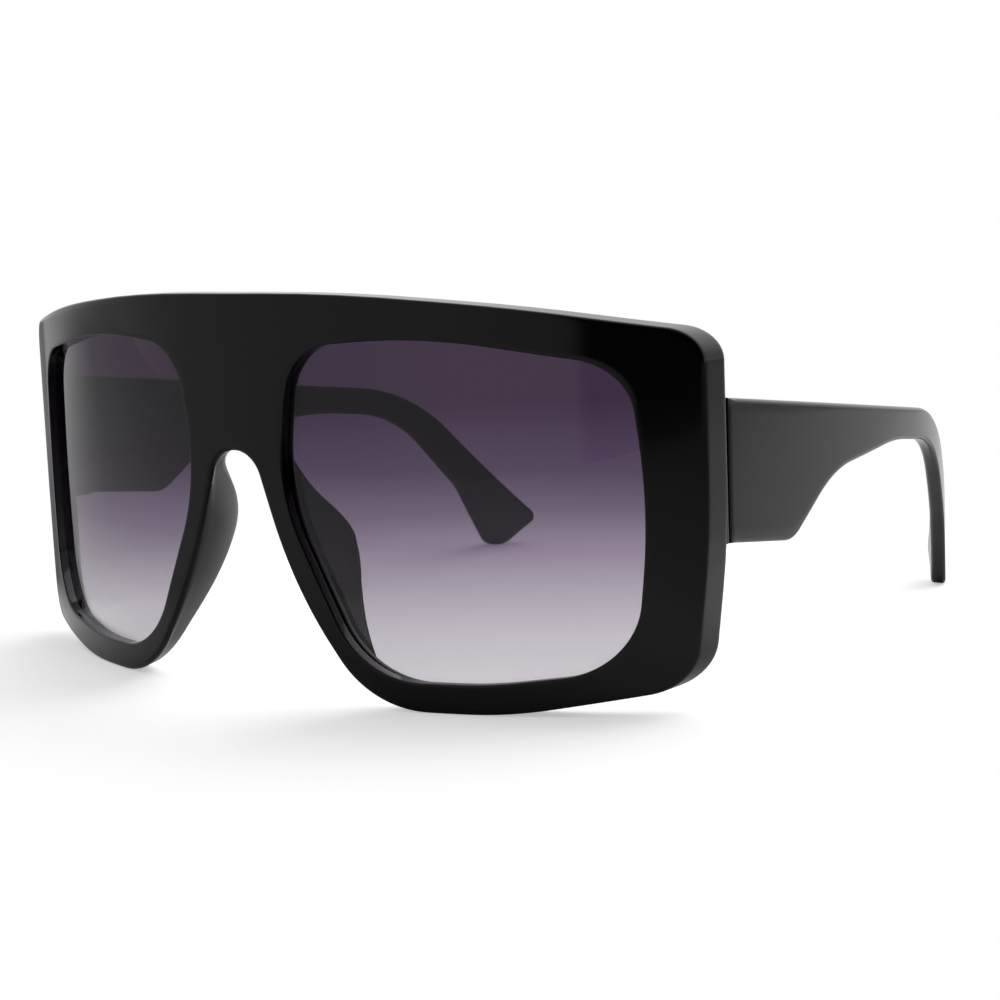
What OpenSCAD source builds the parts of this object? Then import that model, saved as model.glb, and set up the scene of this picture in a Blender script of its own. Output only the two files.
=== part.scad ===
// Oversized flat-top sunglasses with a wrapped one-piece front and folding temples.
// The front faces -Y, +Z is up and +X is the wearer's left.
// The glasses stand on a table at z = 0, on the rims and the temple tips.
// The origin is on the table, midway across the width and the depth.

/* [Front] */
// Width over the rims
front_w = 148; // [140:1:156]
// Height from the table to the middle of the top edge
front_h = 65.5; // [60:0.5:70]
// Thickness of the moulding, front to back
front_t = 4.9; // [4.5:0.1:5.6]
// Radius of the wrap, seen from above
wrap_r = 122; // [112:1:140]

/* [Rims and lenses] */
// Rim above the lens opening
top_rim = 6.9; // [5:0.1:8]
// Rim below the lens opening
bottom_rim = 4.7; // [3.8:0.1:5.4]
// Rim beside the temple
side_rim = 7.3; // [7:0.1:8.6]
// Least distance between the two lens openings
bridge_w = 18.3; // [17:0.1:21]
// Depth of the lens face behind the front face
lens_recess = 1.7; // [1.4:0.1:2.2]
// Thickness of a lens
lens_t = 1.6; // [1.4:0.1:1.8]
// Depth of the groove that holds the lens edge
groove_d = 0.9; // [0.6:0.1:1.1]
// Play of the lens in its groove
lens_play = 0.05; // [0.02:0.01:0.1]

/* [Nose] */
// Height of the arch over the nose
arch_h = 40.3; // [36:0.1:43]
// Radius of the arch
arch_r = 5.5; // [4.5:0.1:6]
// Reach of the nose pads behind the front face
pad_reach = 12.9; // [10:0.1:14.5]
// Thickness of a nose pad
pad_t = 2.4; // [1.8:0.1:3]
// Spread of the nose pads towards the back
pad_splay = 17; // [12:1:22]

/* [Temples] */
// Reach of a temple behind its joint, along Y
temple_reach = 113; // [104:1:120]
// Step from the front's top edge down to the temple's top edge
temple_step = 17.7; // [15:0.1:21]
// Fall of the temple's top edge
temple_fall = 7.4; // [5:0.1:9]
// Height of the broad plate beside the joint
plate_h = 22.4; // [19:0.1:24]
// Length of the broad plate
plate_l = 19.6; // [16:0.1:24]
// Length of the slanted cut behind the plate
cut_l = 14.8; // [12:0.1:18]
// Height of the bar where the cut ends
bar_root_h = 11.1; // [9.4:0.1:12]
// Height of the bar at its slimmest
bar_h = 5.8; // [5:0.1:7.4]
// Height of the bar at the ear
ear_h = 5.6; // [5:0.1:7]
// Thickness of the temple at the joint
temple_t = 4; // [3.8:0.1:4.6]
// Thickness of the temple behind the ear
ear_t = 2.8; // [2.4:0.1:3.4]
// Radius of the side bow of the temple, seen from above
bow_r = 394; // [320:2:520]
// Radius of the ear's inward curve, seen from above
ear_r = 113; // [98:1:150]

/* [Hinges] */
// Outer radius of the hinge knuckles
knuckle_r = 1.3; // [1.2:0.05:1.4]
// Height of one knuckle
knuckle_h = 1.9; // [1.6:0.1:2.2]
// Gap between two knuckles
knuckle_gap = 0.08; // [0.05:0.01:0.12]
// Thickness of the hinge leaves
leaf_t = 0.9; // [0.8:0.05:1]
// Length of the temple's hinge leaf
leaf_l = 10; // [8:0.5:12]
// Thread radius of all screws
screw_r = 0.7; // [0.6:0.05:0.75]
// Head radius of all screws
head_r = 1.1; // [1:0.05:1.2]
// Height of the screw heads
head_h = 0.6; // [0.4:0.05:0.7]
// Length of the screws that hold the leaves
leaf_screw_l = 3.6; // [3:0.1:4]
// Gap at the joint between the front and a temple
joint_gap = 0.25; // [0.15:0.05:0.4]
// Play of the hinge screw in the temple's knuckles
pin_play = 0.04; // [0.02:0.01:0.08]

/* [Hidden] */

// Fineness of the outlines and of the round surfaces
arc_step = 7.5;
arc_length = 4;
fillet_share = 0.5;
wrap_fn = 360;
fine_fn = 48;
overrun = 1;

// Front outline: half width and height
half_w = front_w / 2;
// Corners of the half outline from the rim's foot round to the top: x, z and radius
front_half = [
    [0.632 * half_w, 0, 1.07 * front_h],
    [0.972 * half_w, 0.067 * front_h, 0.12 * front_h],
    [half_w, 0.411 * front_h, 3 * front_h],
    [half_w, 0.89 * front_h, 0.085 * front_h],
    [0.673 * half_w, 0.957 * front_h, 3.5 * front_h],
    [0.296 * half_w, front_h, 4.6 * front_h]];
// Corners of the nose notch, from the arch down to the rim's foot
notch_half = [
    [0.054 * half_w, arch_h, arch_r],
    [0.149 * half_w, 0.472 * arch_h, 14 * arch_r],
    [0.334 * half_w, 0, 0.28 * front_h]];

// Lens opening: its box and its corners as shares of that box
lens_x = bridge_w / 2;
lens_w = half_w - side_rim - lens_x;
lens_h = front_h - top_rim - bottom_rim;
lens_shares = [
    [0.057, 0.971, 0.183], [0, 0.549, 0.572], [0.252, 0, 0.295], [0.597, 0, 1.3],
    [0.961, 0.049, 0.23], [1, 0.508, 2.2], [0.961, 0.905, 0.17], [0.47, 1, 1.62]];

// Joint between the front and the temple
temple_inset = 0.3;
joint_x = half_w - temple_inset;
rear_r = wrap_r - front_t;
rear_lip = 0.3;
joint_y = wrap_r - sqrt(pow(rear_r, 2) - pow(half_w, 2)) + rear_lip;
inner_x = joint_x - temple_t;
joint_top = front_h - temple_step;
joint_z = joint_top - plate_h / 2;
depth = joint_y + temple_reach;
wide = 2 * half_w;

// Hinge axis, with the knuckles just inside the temple's inner face
knuckle_air = 0.1;
axis_x = inner_x - knuckle_r - knuckle_air;
axis_y = joint_y + joint_gap / 2;
knuckles = 5;
pitch = knuckle_h + knuckle_gap;
hinge_h = knuckles * pitch - knuckle_gap;
hinge_z = joint_z - hinge_h / 2;
screw_play = 0.02;
leaf_play = 0.05;
seat_air = 0.25;
seat_y = axis_y - knuckle_r - seat_air;
web_x = half_w - side_rim + 0.8 * groove_d;
front_leaf_x = inner_x + knuckle_air;
front_leaf_w = 0.8 * temple_t;
temple_leaf_x = axis_x + 0.6 * knuckle_r;
temple_leaf_y = axis_y + knuckle_r + knuckle_air + seat_air;
screw_spread = 0.3 * hinge_h;
slot_w = 0.4 * screw_r;
slot_d = 0.5 * head_h;

// Temple outline seen from the side: y behind the joint, z above the table and radius
ear_y = 0.77 * temple_reach;
slim_y = 0.544 * temple_reach;
cut_y = plate_l + cut_l;
tip_top = 0.1 * front_h;
temple_side = [
    [0, joint_top, 0],
    [ear_y, top_z(ear_y), 0.293 * temple_reach],
    [temple_reach, tip_top, 0.011 * temple_reach],
    [temple_reach, 0.74 * tip_top, 0.011 * temple_reach],
    [0.946 * temple_reach, 0, 0.03 * temple_reach],
    [0.92 * temple_reach, 0, 0.03 * temple_reach],
    [0.865 * temple_reach, 0.214 * front_h, 0.09 * temple_reach],
    [0.743 * temple_reach, top_z(0.743 * temple_reach) - ear_h, 0.205 * temple_reach],
    [slim_y, top_z(slim_y) - bar_h, 0.5 * temple_reach],
    [cut_y, top_z(cut_y) - bar_root_h, 0.97 * cut_l],
    [plate_l, top_z(plate_l) - plate_h, 0.24 * cut_l],
    [0, joint_top - plate_h, 0]];

// Temple seen from above: an outer bow, then the tighter curve of the ear
bow_lead = 0.05 * temple_reach;
bow_end = 0.63 * temple_reach;
bow_angle = asin((bow_end - bow_lead) / bow_r);
bow_c = [joint_x - sqrt(pow(bow_r, 2) - pow(bow_lead, 2)), joint_y + bow_lead];
bow_n = [cos(bow_angle), sin(bow_angle)];
ear_c = bow_c + (bow_r - ear_r) * bow_n;
ear_inner = bow_c + (bow_r - ear_t) * bow_n;
to_joint = [inner_x, joint_y] - ear_inner;
inner_r = -(to_joint * to_joint) / (2 * (to_joint * bow_n));
inner_c = ear_inner - inner_r * bow_n;

function top_z(y) = joint_top - y * tan(temple_fall);
function unit(v) = v / norm(v);
function left_of(u) = [-u.y, u.x];
function turned(v, a) = [v.x * cos(a) - v.y * sin(a), v.x * sin(a) + v.y * cos(a)];

// Points of the arc at corner b between its neighbours a and c, moved left by shift
function corner_arc(a, b, c, shift) =
    let (u = unit([b.x - a.x, b.y - a.y]), w = unit([c.x - b.x, c.y - b.y]),
        n = left_of(u), m = left_of(w),
        turn = atan2(cross(u, w), u * w),
        side = sign(turn),
        least = fillet_share * min(norm([b.x - a.x, b.y - a.y]), norm([c.x - b.x, c.y - b.y])),
        spread = abs(tan(turn / 2)),
        base_r = spread > 0 ? min(b[2], least / spread) : b[2],
        r = max(base_r - side * shift, 0),
        p = [b.x, b.y] + shift * (n + m) / (1 + n * m),
        start = p - u * r * spread,
        centre = start + side * r * n,
        steps = max(2, ceil(max(abs(turn) / arc_step, r * abs(turn) * PI / 180 / arc_length))))
    r == 0 ? [p] : [for (i = [0:steps]) centre + turned(start - centre, turn * i / steps)];

// A closed outline with rounded corners, and a stretch of an open one
function rounded(points, shift = 0) =
    [for (i = [0:len(points) - 1])
        each corner_arc(points[(i + len(points) - 1) % len(points)], points[i],
            points[(i + 1) % len(points)], shift)];
function stretch(points, shift = 0) =
    [for (i = [1:len(points) - 2]) each corner_arc(points[i - 1], points[i], points[i + 1], shift)];

function mirrored(points) = [for (i = [len(points) - 1:-1:0]) [-points[i].x, points[i].y, points[i][2]]];
front_corners = concat(front_half, mirrored(front_half));
lens_corners = [for (s = lens_shares)
    [lens_x + s.x * lens_w, bottom_rim + s.y * lens_h, s[2] * lens_h]];
notch_path = concat([[-notch_half[0].x, arch_h, 0]], notch_half, [front_half[0]]);

// Places a child in the frame with its origin under the middle of the glasses
module placed() {
    translate([0, -depth / 2, 0]) children();
}

module both_sides(side) {
    mirror([side < 0 ? 1 : 0, 0, 0]) children();
}

// An outline in x and z, extruded along Y from y0 to y1
module across(points, y0, y1) {
    translate([0, y1, 0]) rotate([90, 0, 0]) linear_extrude(y1 - y0) polygon(points);
}

// The space between two upright cylinders of the wrap
module wrapped(outer_r, inner_r) {
    translate([0, wrap_r, -front_h]) difference() {
        cylinder(r = outer_r, h = 3 * front_h, $fn = wrap_fn);
        translate([0, 0, -overrun])
            cylinder(r = inner_r, h = 3 * front_h + 2 * overrun, $fn = wrap_fn);
    }
}

// The part of the end piece behind one rim, stepped back for the knuckles
module end_piece() {
    intersection() {
        across(rounded(front_corners), 0, joint_y);
        translate([0, wrap_r, 0]) cylinder(r = wrap_r - front_t / 2, h = front_h, $fn = wrap_fn);
        union() {
            translate([web_x, 0, joint_top - plate_h]) cube([half_w, seat_y, plate_h]);
            translate([inner_x - knuckle_air / 2, 0, joint_top - plate_h])
                cube([half_w, joint_y, plate_h]);
        }
    }
}

// An outline in x and z, run back from the front at the splay angle of the nose pads
module splayed(points, y0) {
    rotate([0, 0, -pad_splay]) across([for (p = points) [p.x * cos(pad_splay), p.y]], y0, 2 * pad_reach);
}

// One half of the nose notch, wider towards the back
module nose_notch() {
    edge = stretch(notch_path);
    far_x = edge[len(edge) - 1].x;
    intersection() {
        splayed(concat([notch_path[0]], edge, [[far_x, -overrun], [notch_path[0].x, -overrun]]), -2 * overrun);
        translate([0, -overrun, -overrun]) cube([half_w, 3 * pad_reach, front_h]);
    }
}

// One nose pad: a strip along the notch, still to be cut by it
module nose_pad() {
    inner = stretch(notch_path, -pad_t / 2);
    outer = stretch(notch_path, pad_t);
    pad_side = [[0, 0, 0], [0.45 * pad_reach, 0, 0.1 * arch_h], [0.56 * pad_reach, 0.31 * arch_h, 0.3 * arch_h],
        [1.06 * pad_reach, 0.625 * arch_h, 0.22 * arch_h], [0.38 * pad_reach, 0.95 * arch_h, 0.25 * arch_h],
        [0.3 * pad_reach, arch_h, 0], [0, arch_h, 0]];
    intersection() {
        splayed(concat(inner, [for (i = [len(outer) - 1:-1:0]) outer[i]]), 0);
        rotate([90, 0, 90]) linear_extrude(half_w) polygon(rounded(pad_side));
        translate([0, wrap_r, 0]) cylinder(r = wrap_r - front_t / 2, h = front_h, $fn = wrap_fn);
    }
}

module lens_opening(grow, y0, y1) {
    across(rounded(lens_corners, -grow), y0, y1);
}

module leaf_screw_holes() {
    for (s = [-1, 1])
        translate([front_leaf_x + front_leaf_w / 2, joint_y + overrun, joint_z + s * screw_spread])
            rotate([90, 0, 0])
                cylinder(r = screw_r + screw_play, h = leaf_screw_l + overrun + screw_play, $fn = fine_fn);
}

module front_frame() {
    color("#1c1e1d") placed() difference() {
        union() {
            intersection() {
                across(rounded(front_corners), -overrun, joint_y + overrun);
                wrapped(wrap_r, rear_r);
            }
            for (side = [-1, 1]) both_sides(side) {
                end_piece();
                nose_pad();
            }
        }
        for (side = [-1, 1]) both_sides(side) {
            nose_notch();
            intersection() {
                lens_opening(0, -overrun, joint_y);
                wrapped(wrap_r + overrun, rear_r - overrun);
            }
            intersection() {
                lens_opening(groove_d, -overrun, joint_y);
                wrapped(wrap_r - lens_recess + lens_play, wrap_r - lens_recess - lens_t - lens_play);
            }
            translate([front_leaf_x - leaf_play - knuckle_air, joint_y - leaf_t - leaf_play,
                joint_z - hinge_h / 2 - leaf_play])
                cube([front_leaf_w + 2 * leaf_play + knuckle_air, leaf_t + leaf_play + overrun,
                    hinge_h + 2 * leaf_play]);
            leaf_screw_holes();
        }
    }
}

module lens(side) {
    color("#6f6480", 0.6) placed() both_sides(side) intersection() {
        lens_opening(groove_d - lens_play, -overrun, joint_y);
        wrapped(wrap_r - lens_recess, wrap_r - lens_recess - lens_t);
    }
}

// The space between the outer and the inner curves of the temple, seen from above
module temple_plan() {
    difference() {
        union() {
            intersection() {
                translate([bow_c.x, bow_c.y, -overrun])
                    cylinder(r = bow_r, h = front_h, $fn = 2 * wrap_fn);
                plan_side(-1);
            }
            intersection() {
                translate([ear_c.x, ear_c.y, -overrun])
                    cylinder(r = ear_r, h = front_h, $fn = wrap_fn);
                plan_side(1);
            }
        }
        intersection() {
            translate([inner_c.x, inner_c.y, -2 * overrun])
                cylinder(r = inner_r, h = front_h + 2 * overrun, $fn = 2 * wrap_fn);
            plan_side(-1);
        }
        intersection() {
            translate([ear_c.x, ear_c.y, -2 * overrun])
                cylinder(r = ear_r - ear_t, h = front_h + 2 * overrun, $fn = wrap_fn);
            plan_side(1);
        }
    }
}

// Everything before (-1) or behind (1) the radial line where the ear's curve begins
module plan_side(way) {
    translate([bow_c.x, bow_c.y, -4 * overrun]) rotate([0, 0, bow_angle])
        translate([0, way > 0 ? 0 : -2 * temple_reach, 0])
            cube([2 * bow_r, 2 * temple_reach, front_h + 8 * overrun]);
}

module temple(side) {
    color("#232625") placed() both_sides(side) difference() {
        intersection() {
            translate([0, joint_y, 0]) rotate([90, 0, 90]) linear_extrude(wide)
                polygon(rounded(temple_side));
            temple_plan();
            translate([0, joint_y + joint_gap, -overrun])
                cube([wide, temple_reach, front_h]);
        }
        translate([temple_leaf_x - wide, temple_leaf_y - leaf_play, joint_z - hinge_h / 2 - leaf_play])
            cube([wide + leaf_t + leaf_play, leaf_l + 2 * leaf_play, hinge_h + 2 * leaf_play]);
        translate([temple_leaf_x - wide, joint_y, joint_z - hinge_h / 2 - leaf_play])
            cube([wide + leaf_t + leaf_play, temple_leaf_y - joint_y, hinge_h + 2 * leaf_play]);
        temple_screw_places()
            translate([0, 0, -overrun])
                cylinder(r = screw_r + screw_play, h = leaf_screw_l + screw_play + overrun, $fn = fine_fn);
    }
}

// Puts a child at each screw of the temple's leaf, its z axis into the temple
module temple_screw_places() {
    for (s = [0.3, 0.75])
        translate([temple_leaf_x, temple_leaf_y + s * leaf_l, joint_z]) rotate([0, 90, 0]) children();
}

// A knuckle with its bore; the front holds the even ones and the temple the odd ones
module knuckle(i, bore_r) {
    translate([axis_x, axis_y, hinge_z + i * pitch]) difference() {
        union() {
            cylinder(r = knuckle_r, h = knuckle_h, $fn = fine_fn);
            children();
        }
        translate([0, 0, -overrun]) cylinder(r = bore_r, h = knuckle_h + 2 * overrun, $fn = fine_fn);
    }
}

module front_hinge(side) {
    color("#b9bcc0") placed() both_sides(side) difference() {
        union() {
            for (i = [0:2:knuckles - 1])
                knuckle(i, screw_r + screw_play)
                    translate([0, joint_y - leaf_t - axis_y, 0])
                        cube([front_leaf_x + leaf_t - axis_x, leaf_t, knuckle_h]);
            translate([front_leaf_x, joint_y - leaf_t, hinge_z])
                cube([front_leaf_w, leaf_t, hinge_h]);
        }
        for (s = [-1, 1])
            translate([front_leaf_x + front_leaf_w / 2, joint_y, joint_z + s * screw_spread])
                rotate([90, 0, 0]) countersink();
    }
}

module temple_hinge(side) {
    color("#b9bcc0") placed() both_sides(side) difference() {
        union() {
            for (i = [1:2:knuckles - 1])
                knuckle(i, screw_r + pin_play)
                    translate([temple_leaf_x - axis_x, 0, 0])
                        cube([leaf_t, temple_leaf_y - axis_y + leaf_t, knuckle_h]);
            translate([temple_leaf_x, temple_leaf_y, hinge_z]) cube([leaf_t, leaf_l, hinge_h]);
        }
        temple_screw_places() countersink();
    }
}

// The hole for a flush screw, from the leaf's face downwards
module countersink() {
    translate([0, 0, -overrun]) cylinder(r = screw_r + screw_play, h = leaf_t + 2 * overrun, $fn = fine_fn);
    cylinder(r1 = head_r + screw_play, r2 = screw_r + screw_play, h = head_h, $fn = fine_fn);
    translate([0, 0, -overrun]) cylinder(r = head_r + screw_play, h = overrun, $fn = fine_fn);
}

// A flush cross-slotted screw, from its head at z = 0 upwards
module leaf_screw() {
    difference() {
        union() {
            cylinder(r1 = head_r, r2 = screw_r, h = head_h, $fn = fine_fn);
            cylinder(r = screw_r, h = leaf_screw_l, $fn = fine_fn);
        }
        for (a = [0, 90]) rotate([0, 0, a])
            translate([-head_r / 2, -slot_w / 2, -overrun]) cube([head_r, slot_w, slot_d + overrun]);
    }
}

module front_screws(side) {
    color("#c9ccd0") placed() both_sides(side)
        for (s = [-1, 1])
            translate([front_leaf_x + front_leaf_w / 2, joint_y, joint_z + s * screw_spread])
                rotate([90, 0, 0]) leaf_screw();
}

module temple_screws(side) {
    color("#c9ccd0") placed() both_sides(side) temple_screw_places() leaf_screw();
}

module hinge_screw(side) {
    color("#c9ccd0") placed() both_sides(side) translate([axis_x, axis_y, hinge_z])
        difference() {
            union() {
                cylinder(r = screw_r, h = hinge_h, $fn = fine_fn);
                translate([0, 0, hinge_h]) cylinder(r = head_r, h = head_h, $fn = fine_fn);
            }
            translate([-knuckle_r, -slot_w / 2, hinge_h + head_h - slot_d])
                cube([2 * knuckle_r, slot_w, slot_d + overrun]);
        }
}

front_frame();
lens(1);  // left_lens
lens(-1);  // right_lens
temple(1);  // left_temple
temple(-1);  // right_temple
front_hinge(1);  // left_front_hinge
front_hinge(-1);  // right_front_hinge
temple_hinge(1);  // left_temple_hinge
temple_hinge(-1);  // right_temple_hinge
hinge_screw(1);  // left_hinge_screw
hinge_screw(-1);  // right_hinge_screw
front_screws(1);  // left_front_screws
front_screws(-1);  // right_front_screws
temple_screws(1);  // left_temple_screws
temple_screws(-1);  // right_temple_screws
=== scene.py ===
"""Oversized wrapped sunglasses: a one-piece gloss front, two tinted lenses and two folding temples.

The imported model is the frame. Each operator models one group of pieces over it, in metres,
with the front facing -Y, +Z up and +X on the wearer's left.
"""

import bisect
import math

import bmesh
import bpy
from mathutils import Matrix, Vector


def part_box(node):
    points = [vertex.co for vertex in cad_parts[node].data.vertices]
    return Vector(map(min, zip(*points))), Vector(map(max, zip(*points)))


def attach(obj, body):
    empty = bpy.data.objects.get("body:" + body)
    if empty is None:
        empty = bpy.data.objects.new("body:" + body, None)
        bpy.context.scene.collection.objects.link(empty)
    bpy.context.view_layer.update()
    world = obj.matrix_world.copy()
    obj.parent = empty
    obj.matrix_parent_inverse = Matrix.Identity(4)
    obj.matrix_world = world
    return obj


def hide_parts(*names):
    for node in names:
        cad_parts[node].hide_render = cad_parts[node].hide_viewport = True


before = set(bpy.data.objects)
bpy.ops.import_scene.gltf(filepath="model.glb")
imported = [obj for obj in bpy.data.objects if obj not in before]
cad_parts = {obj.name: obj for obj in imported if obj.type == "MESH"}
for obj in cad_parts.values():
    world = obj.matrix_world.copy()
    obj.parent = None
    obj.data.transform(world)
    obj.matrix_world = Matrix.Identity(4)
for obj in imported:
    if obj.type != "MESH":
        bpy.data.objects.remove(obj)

bl_info = {
    "name": "Wrapped Sunglasses",
    "version": (1, 0, 0),
    "blender": (4, 5, 0),
    "location": "View3D > Sidebar > Sunglasses",
    "description": "Models the visible pieces of a pair of oversized wrapped sunglasses",
    "category": "Add Mesh",
}

MM = 0.001
MERGE = 1e-7  # vertices this close become one
PLAY = 0.05 * MM  # room between a seat and the piece in it
SLIM_SHARE = 0.544  # where along its reach a temple is slimmest
FRONT_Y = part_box("front_frame")[0].y  # the foremost Y of the glasses
SOFTBOX = Vector((0.1, 0.75, 0.75))  # where the softbox stands
WHITE = (1.0, 1.0, 1.0, 1.0)


# Sizes and colours that a user would change

def length(name, description, default):
    """A size in metres, given here in millimetres."""
    return bpy.props.FloatProperty(
        name=name, description=description, default=default * MM, unit="LENGTH", precision=5)


def angle(name, description, default):
    """An angle in radians, given here in degrees."""
    return bpy.props.FloatProperty(
        name=name, description=description, default=math.radians(default), unit="ROTATION")


def colour(name, description, default):
    """A colour written as sRGB hex."""
    return bpy.props.StringProperty(name=name, description=description, default=default)


class FrontSizes(bpy.types.PropertyGroup):
    """Sizes of the moulded front"""

    front_w: length("Width", "Width over the rims", 148)
    front_h: length("Height", "Height from the table to the middle of the top edge", 65.5)
    front_t: length("Thickness", "Thickness of the moulding, front to back", 4.9)
    wrap_r: length("Wrap radius", "Radius of the wrap, seen from above", 122)
    top_rim: length("Top rim", "Rim above the lens opening", 6.9)
    bottom_rim: length("Bottom rim", "Rim below the lens opening", 4.7)
    side_rim: length("Side rim", "Rim beside the temple", 7.3)
    bridge_w: length("Bridge", "Least distance between the two lens openings", 18.3)
    edge_r: length("Front edge rounding", "Rounding of the outline at the front face", 0.45)
    notch_edge_r: length("Notch rounding", "Rounding of the nose notch at the front face", 0.8)
    arch_rear_r: length("Arch rear rounding", "Rounding of the arch at the rear face", 2.4)
    rear_edge_r: length("Rear edge rounding", "Rounding of the outline at the rear face", 0.8)
    opening_r: length("Opening rounding", "Rounding of the lens opening's edges", 0.3)
    arch_h: length("Arch height", "Height of the arch over the nose", 40.3)
    arch_r: length("Arch radius", "Radius of the arch", 5.5)
    pad_reach: length("Pad reach", "How far a nose pad stands behind the rear face", 8.3)
    pad_t: length("Pad thickness", "Thickness of a nose pad", 2.4)
    pad_splay: angle("Pad splay", "Spread of the nose pads towards the back", 17)


class LensSizes(bpy.types.PropertyGroup):
    """Sizes of the lenses and their grooves"""

    lens_recess: length("Recess", "Depth of the lens face behind the front face", 1.7)
    lens_t: length("Thickness", "Thickness of a lens", 1.6)
    groove_d: length("Groove", "Depth of the groove that holds the lens edge", 0.9)
    lens_play: length("Play", "Play of the lens in its groove", 0.05)
    lens_bevel: length("Edge bevel", "Bevel on the lens edge", 0.15)
    snap_step: length("Snap lip step", "How much lower the lip behind the lens is than the one in front", 0.4)
    snap_r: length("Snap lip rounding", "Rounding of the lip behind the lens, over which it snaps in", 1.2)


class TempleSizes(bpy.types.PropertyGroup):
    """Sizes of the folding temples"""

    temple_reach: length("Reach", "Reach of a temple behind its joint, along Y", 113)
    temple_step: length("Step", "Step from the front's top edge down to the temple's top edge", 17.7)
    temple_fall: angle("Fall", "Fall of the temple's top edge", 7.4)
    plate_h: length("Plate height", "Height of the broad plate beside the joint", 22.4)
    plate_l: length("Plate length", "Length of the broad plate", 19.6)
    cut_l: length("Cut length", "Length of the slanted cut behind the plate", 14.8)
    bar_root_h: length("Bar root height", "Height of the bar where the cut ends", 11.1)
    bar_h: length("Bar height", "Height of the bar at its slimmest", 5.8)
    ear_h: length("Ear height", "Height of the bar at the ear", 5.6)
    temple_t: length("Thickness", "Thickness of the temple at the joint", 4)
    ear_t: length("Ear thickness", "Thickness of the temple behind the ear", 2.8)
    bow_r: length("Bow radius", "Radius of the side bow, seen from above", 394)
    ear_r: length("Ear radius", "Radius of the ear's inward curve, seen from above", 113)
    temple_edge_r: length("Edge rounding", "Rounding of the temple's long edges", 0.75)
    joint_edge_r: length("Joint rounding", "Rounding of the temple's edges at the joint", 0.25)
    joint_gap: length("Joint gap", "Gap at the joint between the front and a temple", 0.25)
    temple_inset: length("Inset", "Step from the rim's side in to the temple's outer face", 0.3)
    rear_lip: length("Rear lip", "How far the end piece stands behind the rim", 0.3)


class Finishes(bpy.types.PropertyGroup):
    """Colours of the finishes, as sRGB hex"""

    front_black: colour("Front", "Gloss black of the moulded front", "#060606")
    temple_black: colour("Temples", "Gloss black of the temples", "#070807")
    tint_top: colour("Tint at the top", "What the lens lets through in its top fifth", "#3f3044")
    tint_upper: colour("Tint above the middle", "What the lens lets through at 61% of its height", "#54465e")
    tint_lower: colour("Tint below the middle", "What the lens lets through at 38% of its height", "#827688")
    tint_low: colour("Tint low down", "What the lens lets through at 16% of its height", "#b3adb5")
    tint_foot: colour("Tint at the foot", "What the lens lets through at its foot", "#c5c2c6")
    hinge_metal: colour("Hinge", "Black nickel plating of the hinge leaves", "#3b3a3c")
    screw_metal: colour("Screws", "Black nickel plating of the screws", "#57565a")
    floor_white: colour("Floor", "Paper sweep under the glasses", "#fbfbfb")


def sizes():
    """The sizes of the front, the lenses and the temples, as this scene holds them."""
    scene = bpy.context.scene
    return scene.sunglasses_front, scene.sunglasses_lens, scene.sunglasses_temple


# Outlines: corners with radii, walked by length

def walked(corners, closed, turn_step=math.radians(1.5)):
    """Points (length, x, z, nx, nz) along corners (x, z, radius), and the length at each corner's
    middle. The normal points to the left of the way walked; at a sharp corner it is mitred."""
    found = []
    middles = []
    count = len(corners)
    for i, (x, z, radius) in enumerate(corners):
        here = Vector((x, z))
        if not closed and i in (0, count - 1):
            other = Vector(corners[1 if i == 0 else i - 1][:2])
            way = (other - here if i == 0 else here - other).normalized()
            middles.append(len(found))
            found.append((here, Vector((-way.y, way.x))))
            continue
        before = here - Vector(corners[i - 1][:2])
        after = Vector(corners[(i + 1) % count][:2]) - here
        u, w = before.normalized(), after.normalized()
        n, m = Vector((-u.y, u.x)), Vector((-w.y, w.x))
        turn = math.atan2(u.x * w.y - u.y * w.x, u.dot(w))
        if radius == 0 or abs(turn) < turn_step / 10:
            middles.append(len(found))
            found.append((here, (n + m) / (1 + n.dot(m))))
            continue
        spread = math.tan(abs(turn) / 2)
        room = [before.length * (1 if not closed and i == 1 else 0.5),
                after.length * (1 if not closed and i == count - 2 else 0.5)]
        radius = min(radius, min(room) / spread)
        side = math.copysign(1, turn)
        centre = here - u * radius * spread + side * radius * n
        steps = 2 * math.ceil(abs(turn) / turn_step / 2)
        middles.append(len(found) + steps // 2)
        for k in range(steps + 1):
            part = turn * k / steps
            normal = Vector((n.x * math.cos(part) - n.y * math.sin(part),
                             n.x * math.sin(part) + n.y * math.cos(part)))
            found.append((centre - side * radius * normal, normal))
    if closed:
        found.append(found[0])
    run = 0.0
    points = []
    for k, (place, normal) in enumerate(found):
        if k:
            run += (place - found[k - 1][0]).length
        points.append((run, place.x, place.y, normal.x, normal.y))
    return points, [points[k][0] for k in middles]


def at(points, run):
    """The place and normal at a length along a walked outline; a closed one goes round again."""
    total = points[-1][0]
    if run < 0 or run > total:
        run %= total
    k = min(max(bisect.bisect_right(points, (run,)), 1), len(points) - 1)
    a, b = points[k - 1], points[k]
    share = (run - a[0]) / (b[0] - a[0]) if b[0] > a[0] else 0.0
    x, z, nx, nz = (p + (q - p) * share for p, q in zip(a[1:], b[1:]))
    return Vector((x, z)), Vector((nx, nz))


def smooth_step(low, high, value):
    """0 below low, 1 above high and an even curve between."""
    t = min(max((value - low) / (high - low), 0.0), 1.0)
    return t * t * (3 - 2 * t)


# Mesh tools

def selected_alone(piece):
    """Selects one object and nothing else."""
    bpy.ops.object.select_all(action="DESELECT")
    piece.select_set(True)
    bpy.context.view_layer.objects.active = piece


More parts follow.
